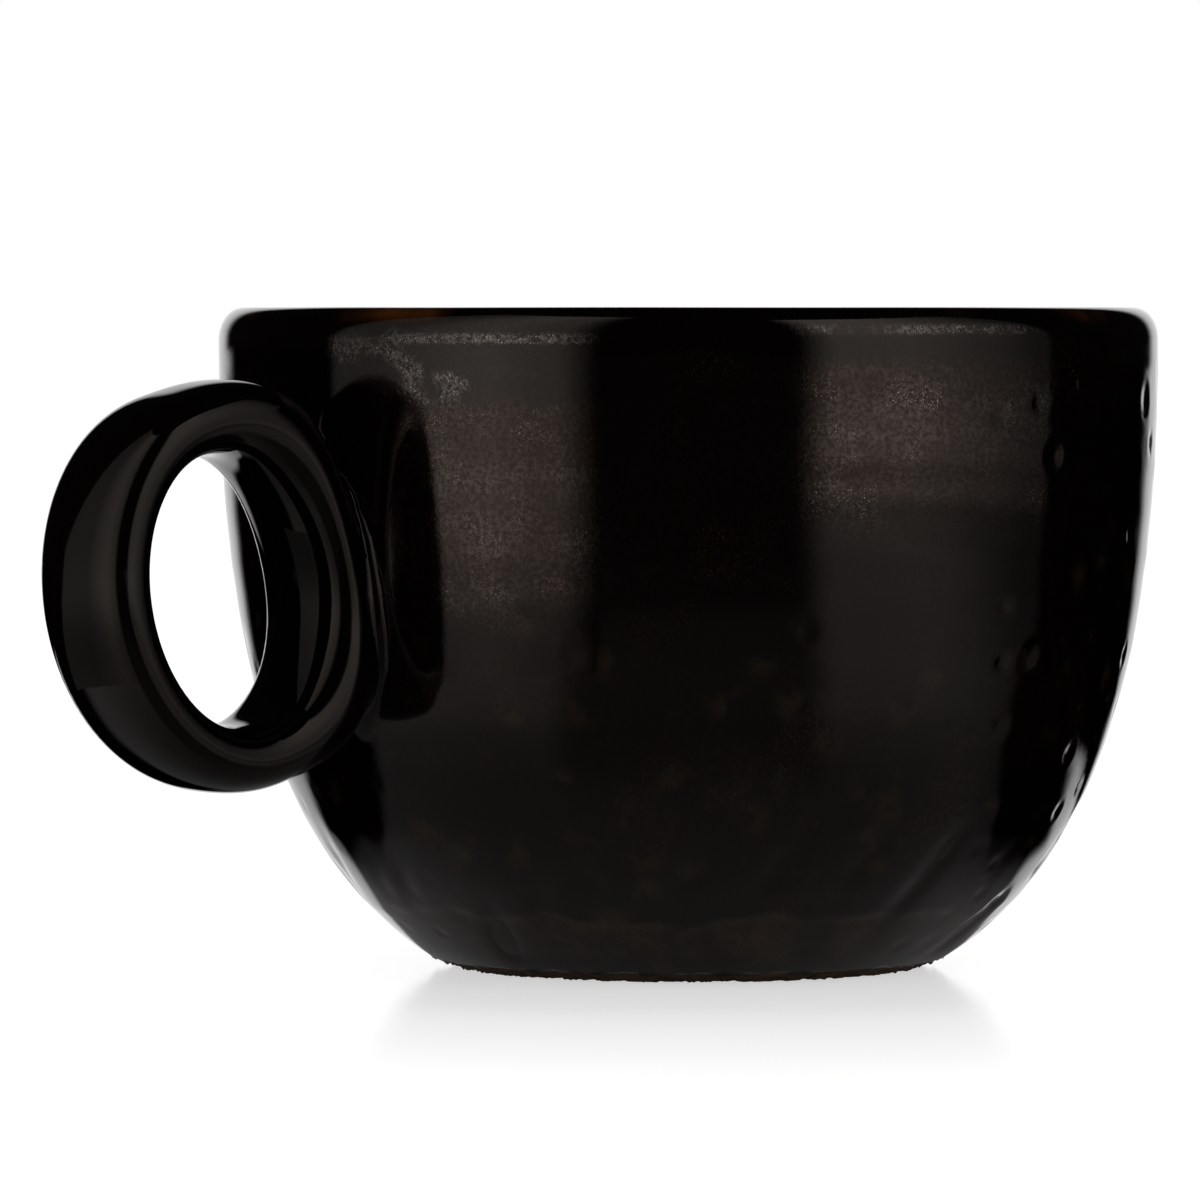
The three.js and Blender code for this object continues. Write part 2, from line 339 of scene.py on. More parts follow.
pitPlaces = scatterPits()
pitEase = uneven["shallow"] + uneven["deeper"] * smoothStep(*uneven["deepSide"], pitPlaces @ toRight)
pitDepths = rng.uniform(*uneven["pitDepth"], len(pitPlaces)) * pitEase
pitSizes = rng.uniform(*uneven["pitSize"], len(pitPlaces))
dentCount, dentStray = uneven["dents"], uneven["dentStray"]
dentTurns = (np.arange(dentCount) + rng.uniform(-dentStray, dentStray, dentCount)) / dentCount * 2 * math.pi
dentHeights = rng.uniform(*uneven["dentHeight"], dentCount)
dentDepths = rng.uniform(*uneven["dentDepth"], dentCount)


def aboveLine(p):
    # height over the wandering line where the thick glaze stops, above the foot
    sway = ripple(np.arctan2(p[:, 1], p[:, 0]), uneven["swayWaves"])
    return p[:, 2] - uneven["glazeLine"] - uneven["glazeSway"] * sway


def unevenAt(p, onWall):
    # how far each point moves along its normal, and how far it is stained as part of a pit
    stain = np.zeros(len(p))
    rise = np.zeros(len(p))
    for place, depth, size in zip(pitPlaces, pitDepths, pitSizes):
        near = np.abs(p - place).max(1) < size * uneven["pitReach"]
        x = ((p[near] - place) ** 2).sum(1) / size**2
        rise[near] -= depth * (1 - x) * np.exp(-x)
        stain[near] = np.maximum(stain[near], np.exp(-x * uneven["stainFall"]))
    r, turn, z = np.hypot(p[:, 0], p[:, 1]), np.arctan2(p[:, 1], p[:, 0]), p[:, 2]
    for at, height, depth in zip(dentTurns, dentHeights, dentDepths):
        up = z - height
        across = r * np.angle(np.exp(1j * (turn - at - uneven["dentLean"] * up)))
        rise -= depth * np.exp(-((across / uneven["dentWide"]) ** 2) - (up / uneven["dentTall"]) ** 2)
    calm = uneven["calmShare"] + (1 - uneven["calmShare"]) * smoothStep(*uneven["calm"], z)
    rise += uneven["wobble"] * calm * sumWaves(p)
    sway = uneven["throwingSway"] * np.sin(turn + uneven["throwingLean"] * z)
    rise += uneven["throwing"] * np.sin(z * 2 * math.pi / uneven["throwingPitch"] + sway)
    over = aboveLine(p)
    roll = smoothStep(*uneven["rollEdge"], over) * np.exp(-np.maximum(over, 0) / uneven["rollFade"])
    rise += uneven["glazeRoll"] * roll
    ease = smoothStep(*uneven["footEase"], z) * (uneven["ringShare"] + (1 - uneven["ringShare"]) * onWall)
    return rise * ease, stain * onWall * smoothStep(*uneven["stained"], z)


# frosty glaze in a bent streak beside the joint and in one spot, by way to the right and height
bloom = {
    "streak": ((-36.6, 66.0), (-30.7, 66.5), (-28.8, 63.5), (-28.2, 58.4)), "spot": (-24.8, 61.9), "spotSize": 0.5,
    "rags": ((0.45, (1.9, 1.3, 2.1), 0), (0.35, (-3.1, 2.7, 1.4), 1)), "edge": (1.9, 0.5),
}


def bloomAt(p):
    line = np.array(bloom["streak"])
    flat = np.stack([p @ toRight, p[:, 2]], axis=1)
    gap = np.linalg.norm(flat - bloom["spot"], axis=1) - bloom["spotSize"]
    for a, b in zip(line[:-1], line[1:]):
        t = np.clip((flat - a) @ (b - a) / ((b - a) @ (b - a)), 0, 1)
        gap = np.minimum(gap, np.linalg.norm(flat - a - t[:, None] * (b - a), axis=1))
    ragged = sum(size * np.sin(p @ way + start) for size, way, start in bloom["rags"])
    return smoothStep(*bloom["edge"], gap + ragged) * (p @ toCamera > 0)


# outer coat: one skin over wall, fillet, ring and the outer half of the lip
coat = {
    "thickness": 0.28, "cut": 64.2, "cutSlack": 0.01, "snap": 1e-8,
    "blockRows": 90, "blockSides": 160, "blockSpare": 3.0, "tubeTurns": 96, "tubeSides": 32,
    "voxel": 0.7, "settle": 4, "relax": 7, "pull": 0.5, "resettle": 2,
    "lipRows": 4, "lipStep": 0.7, "crestRows": 14, "crestStep": 0.06,
    "fineBelow": 11.0, "refitFrom": 0.1, "refitTo": 1,
    "clearOfRing": (0.5, 4.5), "thinEdge": (0.5, -0.4),
    "edge": 0.28, "edgeSlack": 0.02, "edgeLimits": (-0.25, 0.3),
    "edgeWaves": ((0.5, 23, 0), (0.35, 41, 1), (0.3, 67, 2)),
}


def ringTube(base):
    # the ring alone, with its faces numbered from base
    turns, sides = coat["tubeTurns"], coat["tubeSides"]
    angles = np.linspace(0, 2 * math.pi, turns + 1)[:-1]
    around = np.linspace(0, 2 * math.pi, sides + 1)[:-1]
    middle, half = ringSpan(angles, bowl["coat"])
    size = superSize(np.cos(around), np.sin(around), 1, 1, handle["sectionPower"])
    reach = middle[:, None] + half[:, None] * (np.cos(around) / size)[None]
    turn = (angles + ringTurn)[:, None]
    depth = np.broadcast_to((handle["width"] / 2 + bowl["coat"]) * np.sin(around) / size, reach.shape)
    tube = np.stack([ringCentre[0] + reach * np.cos(turn), depth, ringCentre[1] + reach * np.sin(turn)], axis=2)
    faces = []
    for i in range(turns):
        for j in range(sides):
            a, b = base + i * sides, base + (i + 1) % turns * sides
            faces.append([a + j, b + j, b + (j + 1) % sides, a + (j + 1) % sides])
    return tube.reshape(-1, 3), faces


def roughBlock():
    # solid bowl and ring, a little too tall at both ends
    rows, sides, spare = coat["blockRows"], coat["blockSides"], coat["blockSpare"]
    low = np.array([[wallLine[0, 0] - spare * wallSlope[0], -spare]])
    high = wallLine[-1:] + np.array([[0.0, spare]])
    line = moveOut(np.concatenate([low, wallLine, high]), bowl["coat"])
    line = respace(line, np.ones(rows))
    points, faces = turned(line, sides)
    points, faces = capped(points, faces, sides, 0, rows * sides, line[0, 1], line[-1, 1])
    tubePoints, tubeFaces = ringTube(len(points))
    return makeMesh("rough_block", np.concatenate([points, tubePoints]), faces + tubeFaces)


def coatSkin():
    # joins bowl and ring into even faces and settles them on the skin
    block = roughBlock()
    remesh = block.modifiers.new("skin", "REMESH")
    remesh.mode = "VOXEL"
    remesh.voxel_size = coat["voxel"] * mm
    evaluated = block.evaluated_get(bpy.context.evaluated_depsgraph_get())
    mesh = bpy.data.meshes.new_from_object(evaluated)
    bpy.data.objects.remove(block)
    points = np.empty(len(mesh.vertices) * 3)
    mesh.vertices.foreach_get("co", points)
    points = points.reshape(-1, 3) / mm
    n = len(points)
    ends = np.empty(len(mesh.edges) * 2, np.int32)
    mesh.edges.foreach_get("vertices", ends)
    a, b = ends.reshape(-1, 2).T
    count = np.maximum(np.bincount(np.concatenate([a, b]), minlength=n), 1)[:, None]
    points = onSkin(points, coat["settle"])
    for _ in range(coat["relax"]):
        sums = [np.bincount(a, points[b, i], n) + np.bincount(b, points[a, i], n) for i in range(3)]
        mean = np.stack(sums, axis=1) / count
        points = onSkin(points + coat["pull"] * (mean - points), coat["resettle"])
    mesh.vertices.foreach_set("co", (points * mm).ravel())
    return mesh


def addLip(work):
    # turned rows from the cut up to the crest, bridged to the skin below
    cut = (coat["cut"] - coat["cutSlack"]) * mm
    topEdges = [e for e in work.edges if e.is_boundary and min(v.co.z for v in e.verts) > cut]
    outside = moveOut(clayOutside, bowl["coat"])
    upper = outside[outside[:, 1] > coat["cut"] + coat["lipStep"]]
    evenSteps = np.full(coat["lipRows"], coat["lipStep"])
    crestSteps = np.geomspace(coat["lipStep"], coat["crestStep"], coat["crestRows"])
    sides = bowl["sides"]
    points, faces = turned(respace(upper, np.concatenate([evenSteps, crestSteps])), sides)
    verts = [work.verts.new(p) for p in points * mm]
    for face in faces:
        work.faces.new([verts[i] for i in face])
    lowRing = [work.edges.get((verts[i], verts[(i + 1) % sides])) for i in range(sides)]
    bmesh.ops.bridge_loops(work, edges=topEdges + lowRing)


def coatBody():
    mesh = coatSkin()
    work = bmesh.new()
    work.from_mesh(mesh)
    bpy.data.meshes.remove(mesh)
    for height, above in ((coat["cut"], True), (bowl["bareFoot"], False)):
        everything = work.verts[:] + work.edges[:] + work.faces[:]
        bmesh.ops.bisect_plane(
            work, geom=everything, dist=coat["snap"], plane_co=(0, 0, height * mm), plane_no=(0, 0, 1),
            clear_outer=above, clear_inner=not above,
        )
    # finer faces at the foot, where the thick glaze ends in a step
    low = dict.fromkeys(e for f in work.faces if f.calc_center_median().z < coat["fineBelow"] * mm for e in f.edges)
    bmesh.ops.subdivide_edges(work, edges=list(low), cuts=1, use_grid_fill=True)
    addLip(work)
    bmesh.ops.recalc_face_normals(work, faces=work.faces[:])
    work.verts.index_update()
    points = np.array([v.co for v in work.verts]) / mm
    z = points[:, 2]
    refit = (z > bowl["bareFoot"] + coat["refitFrom"]) & (z < coat["fineBelow"] + coat["refitTo"])
    points[refit] = onSkin(points[refit], coat["resettle"])
    faces = [[v.index for v in f.verts] for f in work.faces]
    work.free()
    normals = normalsOf(points, faces)
    if (normals[:, :2] * points[:, :2]).sum() < 0:
        faces, normals = turnedOver(faces, normals)
    return points, faces, normals


def makeCoat():
    points, faces, normals = coatBody()
    onWall = smoothStep(*coat["clearOfRing"], ringDistance(points))
    rise, stain = unevenAt(points, onWall)
    outer = points + normals * rise[:, None]
    inner = points - normals * coat["thickness"]
    # the lower edge of the glaze wanders a little
    low = points[:, 2] < bowl["bareFoot"] + coat["edgeSlack"]
    wander = coat["edge"] * ripple(np.arctan2(points[:, 1], points[:, 0]), coat["edgeWaves"])
    for layer in (outer, inner):
        layer[low, 2] += np.clip(wander[low], *coat["edgeLimits"])
    allPoints, closed, rim = shell(outer, inner, faces)
    piece = makeMesh("outer_coat", allPoints, closed)
    sharpen(piece, rim, len(outer))
    thin = smoothStep(*coat["thinEdge"], aboveLine(points))
    paintCoat(piece, pit=stain, wall=onWall, thin=thin, bloom=bloomAt(points) * onWall)
    return piece


outerCoat = makeCoat()
print("outer coat:", len(outerCoat.data.polygons), "faces")


# liner: over the inner half of the lip and the whole inside, with a throwing spiral that fades at the lip
liner = {
    "crestRows": 12, "rows": 100, "step": 0.9,
    "throwing": 0.05, "pitch": 4.6, "secondShare": 0.4, "secondTurns": 4.3,
    "fadeTop": (67, 56), "fadeMiddle": (4, 14), "crestFade": (67, 70),
}


def spiralAt(p):
    turn, z = np.arctan2(p[:, 1], p[:, 0]), p[:, 2]
    second = np.sin(liner["secondTurns"] * math.pi * z / liner["pitch"] + turn + 1)
    spiral = np.sin(2 * math.pi * z / liner["pitch"] + turn) + liner["secondShare"] * second
    fade = smoothStep(*liner["fadeMiddle"], np.hypot(p[:, 0], p[:, 1]))
    return liner["throwing"] * spiral * smoothStep(*liner["fadeTop"], z) * fade


def makeLiner():
    face = moveOut(clayInside, bowl["coat"])
    face[0, 0] = bowl["radius"] - bowl["lipRound"]
    face[-1, 0] = 0.0
    crestSteps = np.geomspace(coat["crestStep"], liner["step"], liner["crestRows"])
    line = respace(face, np.concatenate([crestSteps, np.full(liner["rows"], liner["step"])]))[:-1]
    sides = bowl["sides"]
    points, faces = turned(line, sides)
    centre = len(points)
    points = np.concatenate([points, [[0, 0, face[-1, 1]]]])
    last = (len(line) - 1) * sides
    faces = faces + [[centre, last + i, last + (i + 1) % sides] for i in range(sides)]
    normals = normalsOf(points, faces)
    if normals[centre, 2] < 0:
        faces, normals = turnedOver(faces, normals)
    outer = points + normals * spiralAt(points)[:, None]
    # the crest is as uneven as the outer coat's, so that the two meet
    z = points[:, 2]
    crest = z > bowl["shoulder"]
    crestRise, _ = unevenAt(points[crest], np.ones(crest.sum()))
    outer[crest] += normals[crest] * (crestRise * smoothStep(*liner["crestFade"], z[crest]))[:, None]
    allPoints, closed, rim = shell(outer, points - normals * coat["thickness"], faces)
    piece = makeMesh("liner_coat", allPoints, closed)
    sharpen(piece, rim, len(outer))
    paintCoat(piece, pit=np.zeros(len(points)), wall=np.ones(len(points)))
    return piece


linerCoat = makeLiner()
print("liner:", len(linerCoat.data.polygons), "faces")


# clay bowl, of which the bare foot shows
clay = {
    "sides": 360, "edge": 0.5, "middle": 0.4, "hollowSlope": 1.6, "underRows": 44, "edgeRows": 6,
    "edgeTop": 0.012, "wallFrom": 0.014, "lowRows": (8, 0.4), "wallRows": (34, 2.2), "lipRows": 8, "insideRows": 60,
    "crumble": 0.22, "shown": (1.5, 0.7), "shownFrom": (-4, 1), "roughSeed": 5, "roughShare": 0.35,
    "grainWaves": 9, "grainPitch": 2.6, "grainSize": 4, "grainShare": 0.6, "worn": 0.5,
}


def clayLine():
    # from the middle of the underside, over the foot's edge, up the wall, over the lip and down the inside
    standing = bowl["foot"] - bowl["standing"]
    under = np.array([
        [clay["middle"], bowl["hollow"]], [standing - clay["hollowSlope"], bowl["hollow"]],
        [standing, 0.0], [bowl["foot"] - clay["edge"], 0.0],
    ])
    under = respace(under, np.ones(clay["underRows"]))
    bend = np.linspace(0, 1, clay["edgeRows"])[1:, None]
    corner = np.array([bowl["foot"], 0.0])
    edge = under[-1] * (1 - bend) ** 2 + 2 * corner * bend * (1 - bend) + wallPoint(clay["edgeTop"]) * bend**2
    wallSteps = np.concatenate([np.full(*clay["lowRows"]), np.full(*clay["wallRows"])])
    wall = respace(wallLine[fine > clay["wallFrom"]], wallSteps)
    lip = lipArc(bowl["lipRound"], 0, math.pi / 2, clay["lipRows"])[1:]
    inside = respace(clayInside, np.ones(clay["insideRows"]))[1:-1]
    return np.concatenate([under, edge, wall, lip, inside])


def makeClay():
    sides = clay["sides"]
    line = clayLine()
    points, faces = turned(line, sides)
    points, faces = capped(points, faces, sides, 0, (len(line) - 1) * sides, bowl["hollow"], bowl["floor"])
    normals = normalsOf(points, faces)
    if normals[-1, 2] < 0:
        faces, normals = turnedOver(faces, normals)
    # the edge of the foot is crumbled
    standing = bowl["foot"] - bowl["standing"]
    low, high = (standing + step for step in clay["shownFrom"])
    show = smoothStep(*clay["shown"], points[:, 2]) * smoothStep(low, high, np.hypot(points[:, 0], points[:, 1]))
    rough = np.random.default_rng(clay["roughSeed"]).normal(size=len(points))
    ways = [np.random.default_rng(i).normal(size=3) * clay["grainPitch"] for i in range(clay["grainWaves"])]
    grain = sum(np.sin(points @ way + i) for i, way in enumerate(ways)) / clay["grainSize"]
    loss = clay["grainShare"] * grain + clay["roughShare"] * rough - clay["worn"]
    points = points + normals * (clay["crumble"] * show * loss)[:, None]
    points[:, 2] = np.maximum(points[:, 2], 0)
    return makeMesh("clay_bowl", points, faces)


clayBowl = makeClay()
print("clay bowl:", len(clayBowl.data.polygons), "faces")


# node helpers
def addNode(tree, kind, **settings):
    node = tree.nodes.new("ShaderNode" + kind)
    for key, value in settings.items():
        setattr(node, key, value)
    return node


def setSocket(tree, socket, value):
    if isinstance(value, bpy.types.NodeSocket):
        tree.links.new(value, socket)
    else:
        socket.default_value = value


def feed(tree, node, **inputs):
    # links a socket or sets a value, by the input's name with spaces left out
    for key, value in inputs.items():
        setSocket(tree, next(i for i in node.inputs if i.name.replace(" ", "") == key and i.enabled), value)


def mathNode(tree, operation, a, b):
    node = addNode(tree, "Math", operation=operation)
    for socket, value in zip(node.inputs, (a, b)):
        setSocket(tree, socket, value)
    return node.outputs[0]


def plus(tree, a, b):
    return mathNode(tree, "ADD", a, b)


def minus(tree, a, b):
    return mathNode(tree, "SUBTRACT", a, b)


def times(tree, a, b):
    return mathNode(tree, "MULTIPLY", a, b)


def most(tree, a, b):
    return mathNode(tree, "MAXIMUM", a, b)


def dotNode(tree, vector, axis):
    node = addNode(tree, "VectorMath", operation="DOT_PRODUCT")
    tree.links.new(vector, node.inputs[0])
    node.inputs[1].default_value = tuple(axis)
    return node.outputs["Value"]


def mapNode(tree, value, low, high, toLow=0.0, toHigh=1.0):
    node = addNode(tree, "MapRange", interpolation_type="SMOOTHSTEP")
    feed(tree, node, Value=value, FromMin=low, FromMax=high, ToMin=toLow, ToMax=toHigh)
    return node.outputs[0]


def blend(tree, share, none, full):
    return mapNode(tree, share, 0.0, 1.0, none, full)


def bandNode(tree, value, rise, fall):
    # one between a rise and a fall, and nothing outside
    return times(tree, mapNode(tree, value, *rise), mapNode(tree, value, *fall))


def mixColour(tree, factor, a, b):
    node = addNode(tree, "Mix", data_type="RGBA")
    for name, value in (("Factor_Float", factor), ("A_Color", a), ("B_Color", b)):
        socket = next(i for i in node.inputs if i.identifier == name)
        setSocket(tree, socket, (*value, 1) if isinstance(value, tuple) else value)
    return next(o for o in node.outputs if o.identifier == "Result_Color")


def mixShaders(tree, share, first, second):
    node = addNode(tree, "MixShader")
    for socket, value in zip(node.inputs, (share, first.outputs[0], second.outputs[0])):
        tree.links.new(value, socket)
    return node


def noiseNode(tree, scale, detail=2.0, roughness=0.5, stretch=(1, 1, 1)):
    place = addNode(tree, "TexCoord").outputs["Object"]
    if stretch != (1, 1, 1):
        mapping = addNode(tree, "Mapping")
        feed(tree, mapping, Vector=place, Scale=stretch)
        place = mapping.outputs[0]
    node = addNode(tree, "TexNoise")
    feed(tree, node, Vector=place, Scale=scale, Detail=detail, Roughness=roughness)
    return node.outputs[0]


def newGroup(name, inputs, outputs):
    group = bpy.data.node_groups.new(name, "ShaderNodeTree")
    for label, value in inputs.items():
        group.interface.new_socket(label, in_out="INPUT", socket_type="NodeSocketFloat").default_value = value
    for label in outputs:
        group.interface.new_socket(label, in_out="OUTPUT", socket_type="NodeSocketFloat")
    return group, group.nodes.new("NodeGroupInput").outputs, group.nodes.new("NodeGroupOutput").inputs


def useGroup(tree, group, **values):
    node = addNode(tree, "Group", node_tree=group)
    feed(tree, node, **values)
    return node.outputs


# fine specks and a fine uneven height, and soft clouds a few millimetres across
grainLook = {
    "detail": 3.0, "roughness": 0.6, "least": 0.78, "perCover": 0.4, "softness": 0.12,
    "coarser": 0.35, "fineShare": 0.45, "coarseShare": 0.55,
}
cloudLook = {
    "detail": 4.0, "roughness": 0.6, "range": (0.35, 0.68),
    "bandScale": 0.4, "bandRoughness": 0.65, "bandStretch": (0.35, 0.35, 2.4), "bandRange": (0.4, 0.66),
}


def grainNodes(tree, scale, cover):
    specks = noiseNode(tree, scale, grainLook["detail"], grainLook["roughness"])
    least = minus(tree, grainLook["least"], times(tree, cover, grainLook["perCover"]))
    mask = mapNode(tree, specks, least, plus(tree, least, grainLook["softness"]))
    coarse = noiseNode(tree, times(tree, scale, grainLook["coarser"]))
    fineHeight = times(tree, specks, grainLook["fineShare"])
    return mask, plus(tree, fineHeight, times(tree, coarse, grainLook["coarseShare"]))


def cloudNodes(tree, scale):
    return mapNode(tree, noiseNode(tree, scale, cloudLook["detail"], cloudLook["roughness"]), *cloudLook["range"])


def bandsNodes(tree, scale):
    # clouds drawn out along the throwing lines
    wide = times(tree, scale, cloudLook["bandScale"])
    noise = noiseNode(tree, wide, cloudLook["detail"], cloudLook["bandRoughness"], cloudLook["bandStretch"])
    return mapNode(tree, noise, *cloudLook["bandRange"])


def grainGroup():
    # for the glazes and for the bare clay
    group, given, result = newGroup("fired_grain", {"Scale": 1500.0, "Cover": 0.5}, ("Specks", "Height"))
    for value, label in zip(grainNodes(group, given["Scale"], given["Cover"]), ("Specks", "Height")):
        group.links.new(value, result[label])
    return group


def cloudGroup():
    # for the two glazes
    group, given, result = newGroup("glaze_clouds", {"Scale": 190.0}, ("Clouds",))
    group.links.new(cloudNodes(group, given["Scale"]), result["Clouds"])
    return group


firedGrain = grainGroup()
glazeClouds = cloudGroup()


def newMaterial(name):
    material = bpy.data.materials.new(name)
    material.use_nodes = True
    tree = material.node_tree
    return material, tree, tree.nodes["Principled BSDF"]


# dark glaze; a range has two ends and, where its results aren't 0 and 1, these
glazeLook = {
    "dark": (0.0019, 0.0012, 0.0008), "warm": (0.070, 0.040, 0.022), "gold": (0.10, 0.040, 0.014),
    "rim": (0.09, 0.027, 0.006), "foot": (0.027, 0.018, 0.012), "tint": (1.0, 0.88, 0.82), "bloom": (1.0, 0.78, 0.7),
    "sheen": 0.33, "gloss": (0.04, 0.075), "thinGloss": 0.04,
    "grain": 6000.0, "cover": 0.5, "clouds": 170.0,
    "footClouds": (0.35, 1.0), "pitClouds": (0.4, 0.9, 0.01, 0.22),
    "spots": (75.0, 3.0, 0.6), "cluster": (0.5, 0.68, 0.02, 0.7), "freckles": (0.46, 0.6, 0.0, 0.9), "fewer": 2.0,
    "patches": (45.0, 4.0, 0.6, (1, 1, 0.3)), "patchRange": (0.52, 0.72), "rimHeight": (0.0683, 0.0698),
    "rimShare": 0.8, "bump": 0.04, "bumpDepth": 0.0002, "ringBump": 0.15,
}
linerLook = dict(glazeLook, gloss=(0.05, 0.1), clouds=150.0, rimShare=0.9)
# frost: fine crystals in a belt that climbs to the right and in a line under the lip, and none on the ring
frostLook = {
    "climb": (-0.012, 0.012), "ragged": 0.0016, "upperClimb": 0.004, "lowerClimb": 0.0095, "lineClimb": 0.0009,
    "beltFoot": (0.037, 0.044, 0.1, 1.0), "beltTop": (0.0622, 0.0602, 0.12, 1.0), "clusterShare": 0.6,
    "lowEdge": ((0.0395, 0.0410), (0.0445, 0.0425)), "topEdge": ((0.0565, 0.0585), (0.0612, 0.0598)),
    "line": ((0.0662, 0.0668), (0.0679, 0.0672)), "lineClouds": (0.0, 0.5, 0.3, 1.0),
    "cloudShare": 0.6, "bandShare": 0.8, "patches": (0.0, 1.2, 0.35, 1.0),
    "grains": (0.41, 0.61), "grainShare": (0.42, 0.9), "spread": (0.2, 1.0),
    "sparks": (2.4, 5.5), "edgeSparks": 4.5, "ringSheen": 0.25,
}


def attributeNode(tree, name):
    return addNode(tree, "Attribute", attribute_name=name).outputs["Fac"]


def frostNodes(tree, glaze, place, z, wall, cluster):
    look = frostLook
    specks, height = grainNodes(tree, glaze["grain"], glaze["cover"])
    clouds, bands = cloudNodes(tree, glaze["clouds"]), bandsNodes(tree, glaze["clouds"])
    climb = mapNode(tree, dotNode(tree, place, toRight), *look["climb"])
    ragged = plus(tree, z, times(tree, clouds, look["ragged"]))
    upper = minus(tree, ragged, times(tree, climb, look["upperClimb"]))
    lower = minus(tree, ragged, times(tree, climb, look["lowerClimb"]))
    belt = most(tree, mapNode(tree, lower, *look["beltFoot"]), times(tree, cluster, look["clusterShare"]))
    belt = times(tree, belt, mapNode(tree, upper, *look["beltTop"]))
    lowEdge = times(tree, climb, bandNode(tree, lower, *look["lowEdge"]))
    edges = most(tree, lowEdge, bandNode(tree, upper, *look["topEdge"]))
    crest = minus(tree, z, times(tree, climb, look["lineClimb"]))
    line = bandNode(tree, crest, *look["line"])
    line = times(tree, line, mapNode(tree, clouds, *look["lineClouds"]))
    line = most(tree, line, attributeNode(tree, "bloom"))
    patches = plus(tree, times(tree, clouds, look["cloudShare"]), times(tree, bands, look["bandShare"]))
    patches = mapNode(tree, patches, *look["patches"])
    frost = times(tree, times(tree, most(tree, belt, line), patches), wall)
    grains = times(tree, mapNode(tree, height, *look["grains"]), blend(tree, line, *look["grainShare"]))
    spread = most(tree, mapNode(tree, clouds, *look["spread"]), line)
    bright = plus(tree, blend(tree, line, *look["sparks"]), times(tree, edges, look["edgeSparks"]))
    sparks = times(tree, times(tree, mathNode(tree, "POWER", specks, glaze["fewer"]), spread), bright)
    crystals = times(tree, frost, plus(tree, grains, sparks))
    sheen = plus(tree, blend(tree, wall, look["ringSheen"], glaze["sheen"]), crystals)
    tint = mixColour(tree, times(tree, belt, wall), glaze["tint"], glaze["bloom"])
    return frost, sheen, tint


def glazeMaterial(name, look, frosty):
    material, tree, shader = newMaterial(name)
    grain = useGroup(tree, firedGrain, Scale=look["grain"], Cover=look["cover"])
    cloud = useGroup(tree, glazeClouds, Scale=look["clouds"])["Clouds"]
    pit, wall, thin = (attributeNode(tree, layer) for layer in ("pit", "wall", "thin"))
    parts = addNode(tree, "SeparateXYZ")
    place = addNode(tree, "TexCoord").outputs["Object"]
    feed(tree, parts, Vector=place)
    z = parts.outputs["Z"]
    # thin glaze breaks brown near the foot and in the pits, gold in clusters of specks, and orange along the rim
    footTone = times(tree, thin, blend(tree, cloud, *look["footClouds"]))
    body = mixColour(tree, footTone, look["dark"], look["foot"])
    pitTone = times(tree, pit, mapNode(tree, cloud, *look["pitClouds"]))
    body = mixColour(tree, pitTone, body, look["warm"])
    spots = noiseNode(tree, *look["spots"])
    cluster = mapNode(tree, spots, *look["cluster"])
    fewSpecks = mathNode(tree, "POWER", grain["Specks"], look["fewer"])
    speck = times(tree, times(tree, fewSpecks, cluster), wall)
    freckles = times(tree, thin, mapNode(tree, spots, *look["freckles"]))
    speck = most(tree, speck, times(tree, freckles, grain["Specks"]))
    body = mixColour(tree, speck, body, look["gold"])
    patchy = mapNode(tree, noiseNode(tree, *look["patches"]), *look["patchRange"])
    rim = times(tree, mapNode(tree, z, *look["rimHeight"]), times(tree, patchy, look["rimShare"]))
    colour = mixColour(tree, rim, body, look["rim"])
    frost, sheen, tint = cloud, look["sheen"], (*look["tint"], 1)
    if frosty:
        frost, sheen, tint = frostNodes(tree, look, place, z, wall, cluster)
    roughness = plus(tree, blend(tree, frost, *look["gloss"]), times(tree, thin, look["thinGloss"]))
    bump = addNode(tree, "Bump")
    relief = times(tree, grain["Height"], blend(tree, wall, look["ringBump"], 1.0))
    feed(tree, bump, Strength=look["bump"], Distance=look["bumpDepth"], Height=relief)
    feed(tree, shader, BaseColor=colour, Roughness=roughness, SpecularIORLevel=sheen, SpecularTint=tint)
    feed(tree, shader, Normal=bump.outputs[0])
    return material


clayLook = {
    "dark": (0.085, 0.052, 0.032), "light": (0.17, 0.105, 0.062), "speck": (0.03, 0.02, 0.014), "speckShare": 0.7,
    "grain": 900.0, "cover": 0.65, "tone": (160.0, 5.0, 0.65), "toneRange": (0.3, 0.7), "roughness": (0.78, 0.92),
    "bump": 0.7, "bumpDepth": 0.0003,
}


def clayMaterial(name, look):
    material, tree, shader = newMaterial(name)
    grain = useGroup(tree, firedGrain, Scale=look["grain"], Cover=look["cover"])
    tone = mapNode(tree, noiseNode(tree, *look["tone"]), *look["toneRange"])
    body = mixColour(tree, tone, look["dark"], look["light"])
    colour = mixColour(tree, times(tree, grain["Specks"], look["speckShare"]), body, look["speck"])
    bump = addNode(tree, "Bump")
    feed(tree, bump, Strength=look["bump"], Distance=look["bumpDepth"], Height=grain["Height"])
    feed(tree, shader, BaseColor=colour, Roughness=blend(tree, tone, *look["roughness"]), Normal=bump.outputs[0])
    return material


outerGlaze = glazeMaterial("outer_glaze_dark", glazeLook, True)
linerGlaze = glazeMaterial("liner_glaze_dark", linerLook, False)
bareClay = clayMaterial("bare_clay", clayLook)

for piece, material, nodes, slot in (
    (outerCoat, outerGlaze, ["outer_glaze"], "glaze"),
    (linerCoat, linerGlaze, ["liner_glaze"], "glaze"),
    (clayBowl, bareClay, ["cup_body"], "clay"),
):
    piece.data.materials.append(material)
    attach(piece, "root")
    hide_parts(*nodes)

for name in ("ring_handle", "slip_bed"):
    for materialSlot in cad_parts[name].material_slots:
        materialSlot.material = bareClay
print("materials set")


